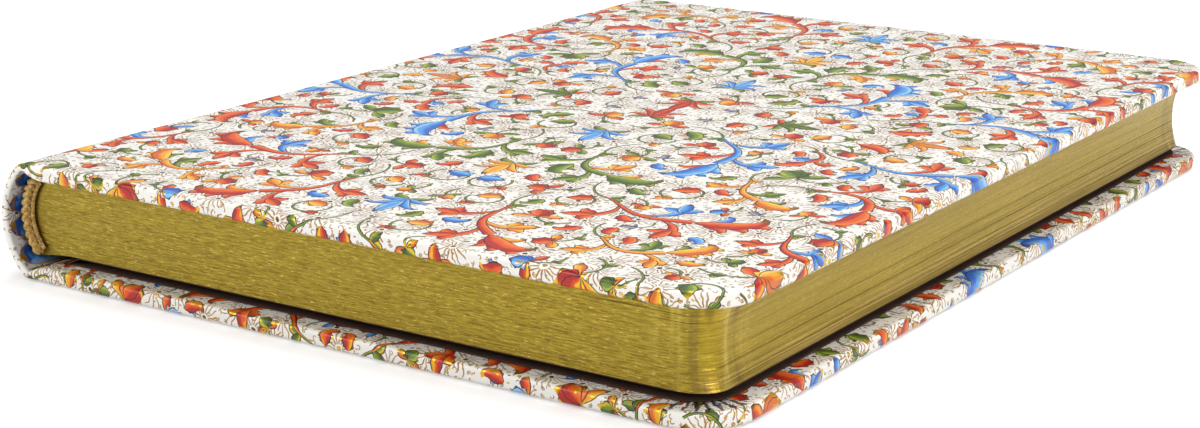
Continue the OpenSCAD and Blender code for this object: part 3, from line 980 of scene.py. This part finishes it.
def first_leaf():
    """The lowest leaf, with two corners bevelled round and cuts near the back, where it will bend."""
    bm = bmesh.new()
    sides = ((BACK_MID, -PAGE_HALF_H), (PAGE_FORE, -PAGE_HALF_H), (PAGE_FORE, PAGE_HALF_H), (BACK_MID, PAGE_HALF_H))
    bm.faces.new([bm.verts.new((x, y, LEAVES_LOW)) for x, y in sides])
    bmesh.ops.bevel(bm, geom=[v for v in bm.verts if v.co.x > 0], affect="VERTICES",
                    offset=PAGE_CORNER_R * CORNER_CUT, segments=12, profile=0.5, material=-1)
    for cut in (0.8, 2, 3.5, 5.5, 8):
        bmesh.ops.bisect_plane(bm, geom=bm.verts[:] + bm.edges[:] + bm.faces[:], plane_co=(BACK_TIP + cut, 0, 0),
                               plane_no=(1, 0, 0))
    spare = [v for v in bm.verts if v.co.x > 60 and len(v.link_edges) == 2]
    bmesh.ops.dissolve_limit(bm, angle_limit=0.0001, verts=spare, edges=[])
    return bm


# %% Page block
def make_page_block():
    """Extrudes the leaf into a stack, then slides the layers: a hollow fore-edge, a round back and shoulders."""
    bm = first_leaf()
    top = bm.faces[:]
    for layer in range(LEAF_COUNT):
        result = bmesh.ops.extrude_face_region(bm, geom=top)
        bmesh.ops.translate(bm, verts=only(result, bmesh.types.BMVert), vec=(0, 0, 2 * LEAVES_HALF_T / LEAF_COUNT))
        if layer:
            bmesh.ops.delete(bm, geom=top, context="FACES_ONLY")
        top = only(result, bmesh.types.BMFace)
    bmesh.ops.recalc_face_normals(bm, faces=bm.faces)
    slide = random.Random(4)
    jitter = [slide.gauss(0, 0.035) for _ in range(LEAF_COUNT + 1)]
    for v in bm.verts:
        share = (v.co.z - LEAVES_MID) / LEAVES_HALF_T
        k = round((share + 1) / 2 * LEAF_COUNT)
        if v.co.x < BACK_MID + 0.01:
            v.co.x = BACK_TIP - BACK_SAG * math.sqrt(max(1 - share * share * 0.96, 0))
        elif v.co.x > 0:
            v.co.x -= HOLLOW * (1 - share * share) + abs(jitter[k]) * 0.8
        if 0 < k < LEAF_COUNT and abs(v.co.y) > PAGE_HALF_H - 0.01:
            v.co.y -= math.copysign(abs(jitter[k]) * 0.6, v.co.y)
        lift = 1 - min(max((v.co.x - BACK_TIP) / SHOULDER_W, 0), 1)
        v.co.z = LEAVES_MID + (v.co.z - LEAVES_MID) * (LEAVES_HALF_T + SHOULDER_RISE * lift * lift) / LEAVES_HALF_T
    return to_object("gilt_pages", bm)


page_block = make_page_block()
print(f"page block: {len(page_block.data.polygons)} faces in {LEAF_COUNT} layers")
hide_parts("page_block")
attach(page_block, "book_block")

# %% [markdown]
# Gilt is metal leaf burnished on the trimmed paper. It is not a mirror: the leaf ends show through
# as fine lines along the edge, with dark specks where the leaf broke and bright specks of painted sparkle.
# Round the corner the changing sheen is painted in as bands of painted highlight and painted shade,
# and dark lines of painted shade lie in the gaps where leaves have parted.

# %% Gilt edge
def gilt_leaf(fore):
    """Metal leaf over the leaves' ends: their lines, which run longer on the fore-edge, and the specks, dark where the
    leaf broke and bright as painted sparkle.
    """
    short = noise(object_place((420, 420, 5200)), 1.0, 4.0, 0.7)
    long = noise(object_place((45, 45, 6500)), 1.0, 4.0, 0.65)
    specks = noise(object_place((1000, 1000, 5600)), 1.0, 3.0, 0.65)
    cloud = noise(object_place((40, 40, 220)), 1.0, 3.0, 0.55)
    leaves = mix_colour(blur_step(fore, 0.0, 1.0, 0.25, 0.8), short, long)
    tone = mix_colour(blur_step(leaves, 0.30, 0.72), ink(104, 84, 24), ink(180, 157, 58))
    tone = mix_colour(blur_step(cloud, 0.35, 0.75, 0.0, 0.35), tone, ink(140, 120, 44))
    # Painted sparkle: bright specks of glint on the gilt.
    tone = mix_colour(blur_step(specks, 0.58, 0.74, 0.0, 0.75), tone, ink(226, 202, 108))
    tone = mix_colour(blur_step(specks, 0.42, 0.28, 0.0, 0.6), tone, ink(92, 74, 22))
    return mix_colour(times(fore, 0.45), tone, ink(172, 144, 34)), leaves, specks, long


def make_gilt():
    """The places of corner, fore-edge and upper half are read in metres on the piece."""
    material, skin = new_material("gilt_edge")
    x, y, z = split_up(add_node("TexCoord", output="Object"))
    fore = blur_step(x, 0.0585, 0.0610)
    tone, leaves, specks, long = gilt_leaf(fore)
    round_corner = times(blur_step(x, 0.0515, 0.0565), blur_step(size_of(y), 0.0735, 0.0785))
    bands = noise(object_place((300, 300, 12), (0.3, 0.7, 0)), 1.0, 2.0, 0.55)
    painted_corner_highlight = times(blur_step(bands, 0.52, 0.66), round_corner)
    painted_corner_shade = times(blur_step(bands, 0.48, 0.36), round_corner)
    # Painted highlight and painted shade: light and dark bands round the rounded corner stand in for its changing
    # sheen.
    tone = mix_colour(times(painted_corner_highlight, 0.42), tone, ink(226, 206, 108))
    tone = mix_colour(times(painted_corner_shade, 0.55), tone, ink(104, 82, 44))
    gaps = blur_step(noise(object_place((14, 14, 5200), (3, 1, 0)), 1.0, 1.0, 0.5), 0.63, 0.66)
    painted_gap_shade = times(times(gaps, blur_step(z, 0.0115, 0.0140, 0.15, 1.0)), blur_step(x, 0.030, 0.055, 0.12, 1.0))
    # Painted shade: dark lines stand in the gaps where leaves have parted.
    tone = mix_colour(times(painted_gap_shade, minus(0.8, times(fore, 0.35))), tone, ink(60, 48, 18))
    rosy = times(times(blur_step(long, 0.45, 0.60), blur_step(z, 0.0080, 0.0045)), fore)
    tone = mix_colour(times(rosy, 0.35), tone, ink(214, 172, 118))
    skin.inputs["Metallic"].default_value = 0.9
    skin.inputs["Anisotropic"].default_value = 0.3
    height = plus(times(leaves, 0.8), times(specks, 0.8))
    coat(skin, tone, blur_step(specks, 0.2, 0.8, 0.42, 0.30), height, 0.5, 0.00004)
    return material


gilt = make_gilt()
page_block.data.materials.append(gilt)
print("gilt:", len(gilt.node_tree.nodes), "nodes")

# %% [markdown]
# ## Endpapers
# A folded sheet of plain dark brown paper joins the pages to each board: one half is the free
# flyleaf, the other is pasted down over the turn-in. At the joint the real sheet runs from one to the
# other. Here the free half carries on to the hinge line, and the pasted half stops where it would cut
# into the spine strip's edge when the cover is laid right back.

# %% Endpaper sheets
SHEET_T, SHEET_CORNER, SHEET_ROWS = 0.14, 6.5, 24
HINGE_Z = FRONT_HINGE[2] / MM
JOINT_Z = 16.62


def make_sheet(name, node, section):
    """A sheet with a bent section near the hinge: section is a list of (x, z) in mm, from the joint outwards."""
    half_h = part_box(node)[1].y / MM
    bm = bmesh.new()
    verts = [bm.verts.new((x, -half_h, z)) for x, z in section]
    edges = [bm.edges.new(pair) for pair in zip(verts, verts[1:])]
    for _ in range(SHEET_ROWS):
        result = bmesh.ops.extrude_edge_only(bm, edges=edges)
        edges = only(result, bmesh.types.BMEdge)
        bmesh.ops.translate(bm, verts=only(result, bmesh.types.BMVert), vec=(0, 2 * half_h / SHEET_ROWS, 0))
    fore = max(x for x, z in section)
    for tip in [v for v in bm.verts if v.co.x > fore - 0.001 and abs(abs(v.co.y) - half_h) < 0.001]:
        bmesh.ops.bevel(bm, geom=[tip], affect="VERTICES", offset=SHEET_CORNER, segments=8,
                        profile=0.5, material=-1)
    bmesh.ops.solidify(bm, geom=bm.faces[:], thickness=SHEET_T)
    bmesh.ops.recalc_face_normals(bm, faces=bm.faces)
    return to_object(name, bm)


def to_fore(z, start, end, count=10):
    """Evenly spaced section points at one height, so that a sheet bends only where it should."""
    return [(start + (end - start) * i / count, z) for i in range(count + 1)]


# %% Both halves of both endpapers
def make_endpapers():
    """(object, body, node) of the free and the pasted half at the front and at the back."""
    made = []
    for side in ("front", "back"):
        towards = 1 if side == "front" else -1
        flip = (lambda z: z) if side == "front" else (lambda z: CASE_T - z)
        leaf_low, leaf_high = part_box(side + "_flyleaf")
        paste_low, paste_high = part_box(side + "_pastedown")
        start, fore = leaf_low.x / MM, leaf_high.x / MM
        leaf_z = (leaf_low.z + leaf_high.z) / 2 / MM
        paste_z = paste_low.z / MM + 0.1 if side == "front" else paste_high.z / MM - 0.1
        free = [(FOLD_X + 0.75, flip(HINGE_Z - 0.08)), (FOLD_X + 1.5, flip(HINGE_Z - 0.28)),
                (FOLD_X + 2.4, flip(HINGE_Z - 0.45)), (FOLD_X + 3.4, flip(JOINT_Z + 0.06)),
                (start + 1.5, flip(16.1)), (start + 4, leaf_z + 0.06 * towards)] + to_fore(leaf_z, start + 9, fore)
        pasted = [(FOLD_X + 3.05, flip(HINGE_Z - 0.38)), (FOLD_X + 3.8, flip(JOINT_Z)),
                  (start + 0.6, flip(16.24))] + to_fore(paste_z, start + 2.5, fore)
        for half, section, body, node in (("free", free, "book_block", side + "_flyleaf"),
                                          ("pasted", pasted, side + "_cover", side + "_pastedown")):
            made.append((make_sheet(f"{side}_{half}_endpaper", node, section), body, node))
    return made


# %% Endpaper finish
def make_endpaper_finish():
    """Uncoated laid paper, dyed dark brown, with a faint fibre."""
    material, skin = new_material("brown_endpaper")
    fibre = noise(object_place((900, 300, 900)), 1.0, 5.0, 0.65)
    cloud = noise(object_place((60, 60, 60)), 1.0, 3.0, 0.5)
    tone = mix_colour(blur_step(fibre, 0.3, 0.7), ink(50, 33, 25), ink(72, 49, 37))
    tone = mix_colour(times(cloud, 0.35), tone, ink(96, 68, 52))
    skin.inputs["Specular IOR Level"].default_value = 0.3
    coat(skin, tone, blur_step(fibre, 0.2, 0.8, 0.78, 0.92), fibre, 0.4, 0.00004)
    return material


endpaper_finish = make_endpaper_finish()
for sheet_piece, body, node in make_endpapers():
    sheet_piece.data.materials.append(endpaper_finish)
    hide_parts(node)
    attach(sheet_piece, body)
    print(f"{sheet_piece.name}: {len(sheet_piece.data.polygons)} faces")

# %% [markdown]
# ## Head and tail bands
# At each end of the spine a braided band covers the glued back of the leaves. Three strands of
# gold-brown thread pass over and under each other on a tape that runs down the spine. Each strand is a
# small ring of points carried along its own wavy path round the rounded back.

# %% A thread's tube
def sweep(bm, path, radius, sides):
    """Carries a ring along a path of points and closes both ends."""
    rings = []
    for i, p in enumerate(path):
        ahead = (path[min(i + 1, len(path) - 1)] - path[max(i - 1, 0)]).normalized()
        out = ahead.cross(Vector((0, 0, 1)) if abs(ahead.z) < 0.9 else Vector((1, 0, 0))).normalized()
        up = ahead.cross(out)
        angles = [2 * math.pi * k / sides for k in range(sides)]
        ring = [bm.verts.new(p + (out * math.cos(a) + up * math.sin(a)) * radius) for a in angles]
        rings.append([bm.edges.new((ring[k], ring[(k + 1) % sides])) for k in range(sides)])
    for first, second in zip(rings, rings[1:]):
        bmesh.ops.bridge_loops(bm, edges=first + second)
    for ring in (rings[0], rings[-1]):
        bmesh.ops.edgeloop_fill(bm, edges=ring)


# %% One band
STRAND_STEPS, TURNS, BAND_SAG, TAPE_STEPS = 120, 3.4, 2.6, 24
TAPE_REACH, TAPE_END = 10.5, 1.0


def make_band(name, node, end):
    """The braid, its thin companion twist and the tape, along the arc of the block's back."""
    low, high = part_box(node)
    outer_y = high.y / MM if end > 0 else -low.y / MM
    middle, half_t = (page_low.z + page_high.z) / 2 / MM, (page_high.z - page_low.z) / 2 / MM
    arc_r = (BAND_SAG ** 2 + (half_t - 0.4) ** 2) / (2 * BAND_SAG)
    half_angle = math.asin((half_t - 0.5) / arc_r)

    def on_arc(share, out, y):
        a, r = half_angle * share, arc_r + out
        return Vector((BACK_MID + arc_r - r * math.cos(a), end * y, middle + r * math.sin(a)))

    bm = bmesh.new()
    shares = [-1 + 2 * i / STRAND_STEPS for i in range(STRAND_STEPS + 1)]
    for strand in range(3):
        turns = [2 * math.pi * strand / 3 + TURNS * math.pi * (share + 1) for share in shares]
        sweep(bm, [on_arc(share, -0.40 + 0.30 * math.sin(2 * a), outer_y - 0.92 + 0.50 * math.sin(a))
                   for share, a in zip(shares, turns)], 0.40, 9)
    for strand in range(2):
        turns = [math.pi * strand + TURNS * 3.5 * math.pi * (share + 1) for share in shares]
        sweep(bm, [on_arc(share, -1.35 + 0.16 * math.sin(a), outer_y - 1.25 + 0.16 * math.cos(a))
                   for share, a in zip(shares, turns)], 0.2, 6)
    across_tape = [-1 + 2 * i / TAPE_STEPS for i in range(TAPE_STEPS + 1)]
    first = [bm.verts.new(on_arc(share, 0.1, outer_y - TAPE_REACH)) for share in across_tape]
    result = bmesh.ops.extrude_edge_only(bm, edges=[bm.edges.new(pair) for pair in zip(first, first[1:])])
    bmesh.ops.translate(bm, verts=only(result, bmesh.types.BMVert), vec=(0, end * (TAPE_REACH - TAPE_END), 0))
    tape = only(result, bmesh.types.BMFace)
    bmesh.ops.recalc_face_normals(bm, faces=tape)
    bmesh.ops.solidify(bm, geom=tape, thickness=0.12)
    bmesh.ops.recalc_face_normals(bm, faces=bm.faces)
    return to_object(name, bm, True)


# %% Thread
def make_thread():
    """Rayon thread: gold-brown, with the twist of its plies as a fine slanting bump and a soft sheen."""
    material, skin = new_material("band_thread")
    plies = noise(object_place((1500, 2400, 2400)), 1.0, 3.0, 0.6)
    worn = noise(object_place((500, 500, 500)), 1.0, 2.0, 0.5)
    tone = mix_colour(blur_step(plies, 0.3, 0.7), ink(140, 102, 38), ink(218, 178, 92))
    tone = mix_colour(blur_step(worn, 0.5, 0.8, 0.0, 0.5), tone, ink(212, 182, 124))
    skin.inputs["Sheen Weight"].default_value = 0.25
    coat(skin, tone, blur_step(plies, 0.2, 0.8, 0.45, 0.7), plies, 0.8, 0.00006)
    return material


thread = make_thread()
for name, node, end in (("braided_headband", "headband", 1), ("braided_tailband", "tailband", -1)):
    band = make_band(name, node, end)
    band.data.materials.append(thread)
    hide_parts(node)
    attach(band, "book_block")
    print(f"{name}: {len(band.data.polygons)} faces")

# %% [markdown]
# ## Board, card and lining
# These CAD pieces are right as they are and mostly hidden. Greyboard is pressed waste paper with
# flecks of fibre; the spine strip is smooth card; the lining is a strip of open cotton cloth.

# %% Hidden pieces' finishes
def plain_finish(name, grain, detail, tones, rough, relief, contrast=None):
    """Board or card: one grain that sets the tone, the roughness and the relief."""
    material, skin = new_material(name)
    fibre = noise(object_place(grain), 1.0, *detail)
    tone = mix_colour(blur_step(fibre, *contrast) if contrast else fibre, *tones)
    coat(skin, tone, blur_step(fibre, 0.2, 0.8, *rough), fibre, *relief)
    return material


def make_lining_cloth():
    """Open cotton cloth: the threads of both directions are two wave patterns, and the higher one shows."""
    material, skin = new_material("lining_cloth")
    weave, cross = (add_node("TexWave", object_place(), 420.0, bands_direction=axis, output="Fac") for axis in "YZ")
    threads = most(weave, cross)
    tone = mix_colour(threads, ink(150, 138, 112), ink(222, 214, 194))
    coat(skin, tone, blur_step(threads, 0.0, 1.0, 0.95, 0.85), threads, 0.6, 0.00008)
    return material


greyboard = plain_finish("greyboard", (900, 900, 1800), (5.0, 0.7), (ink(128, 122, 112), ink(164, 156, 142)),
                         (0.8, 0.95), (0.5, 0.00005), (0.35, 0.7))
spine_card = plain_finish("spine_card", (1200, 150, 1200), (4.0, 0.6), (ink(176, 160, 132), ink(206, 192, 166)),
                          (0.7, 0.85), (0.3, 0.00003))
finishes = {"front_board": greyboard, "back_board": greyboard, "spine_inlay": spine_card,
            "spine_lining": make_lining_cloth()}
for node, material in finishes.items():
    frame["nodes"][node].data.materials.clear()
    frame["nodes"][node].data.materials.append(material)
print("carried-over pieces with a new finish:", ", ".join(sorted(finishes)))

# %% [markdown]
# ## Light, floor and camera
# The photograph is a catalogue shot: even, soft light on white. Large lamps overhead and at the sides
# light the object plainly. The background is made white for camera rays only, so no extra light
# reaches the object, and the floor keeps the object's shadow.

# %% Light and floor
def seen_directly(*rays):
    """1 for rays of the named kinds, so that the background they show can be white without lighting the object."""
    path = add_node("LightPath").node.outputs
    seen = path["Is Camera Ray"]
    for ray in rays:
        seen = most(seen, path[ray])
    return seen


def make_floor():
    bm = bmesh.new()
    bmesh.ops.create_grid(bm, x_segments=1, y_segments=1, size=3000.0)
    bmesh.ops.translate(bm, verts=bm.verts, vec=(0, 0, -0.2))
    floor = to_object("floor", bm)
    material, skin = new_material("studio_floor")
    for name, value in (("Base Color", (0.8, 0.8, 0.8, 1)), ("Roughness", 0.9), ("Specular IOR Level", 0.1),
                        ("Emission Color", (1, 1, 1, 1)),
                        ("Emission Strength", times(seen_directly("Is Glossy Ray", "Is Transmission Ray"), 0.35))):
        feed(skin.inputs[name], value)
    floor.data.materials.append(material)


def make_world(level):
    world = bpy.data.worlds.new("studio")
    bpy.context.scene.world = world
    world.use_nodes = True
    bench["tree"] = world.node_tree
    background = world.node_tree.nodes["Background"]
    feed(background.inputs["Strength"], blur_step(seen_directly("Is Transmission Ray"), 0.0, 1.0, level, 1.0))
    background.inputs["Color"].default_value = (1, 1, 1, 1)


def soft_lamp(name, place, aim, size, power):
    data = bpy.data.lights.new(name, "AREA")
    data.shape, data.size, data.size_y, data.energy = "RECTANGLE", size[0], size[1], power
    lamp = bpy.data.objects.new(name, data)
    lamp.location = place
    lamp.rotation_euler = (Vector(aim) - Vector(place)).to_track_quat("-Z", "Y").to_euler()
    bpy.context.scene.collection.objects.link(lamp)


make_floor()
make_world(0.40)
soft_lamp("overhead", (0.1, 0.25, 0.9), (0, 0, 0), (0.9, 0.7), 7.4)
soft_lamp("front_left", (-0.45, -0.75, 0.35), (0, 0, 0.01), (0.5, 0.35), 3.0)
soft_lamp("front_right", (0.8, -0.25, 0.35), (0, 0, 0.01), (0.5, 0.35), 3.0)
print("lamps: 3")

# %% Camera
CAMERA_AT = Vector((206.72, -326.04, 105.12)) * MM
CAMERA_AIM = Vector((-6.16, -9.38, 0.89)) * MM
camera_data = bpy.data.cameras.new("camera")
camera_data.lens = 69.247
camera_data.sensor_width = 36.0
camera_data.clip_start = 0.01
camera = bpy.data.objects.new("camera", camera_data)
camera.location = CAMERA_AT
camera.rotation_euler = (CAMERA_AIM - CAMERA_AT).to_track_quat("-Z", "Y").to_euler()
bpy.context.scene.collection.objects.link(camera)
bpy.context.scene.camera = camera
bpy.context.scene.view_settings.view_transform = "Standard"
print("camera distance:", round((CAMERA_AIM - CAMERA_AT).length, 3), "m")
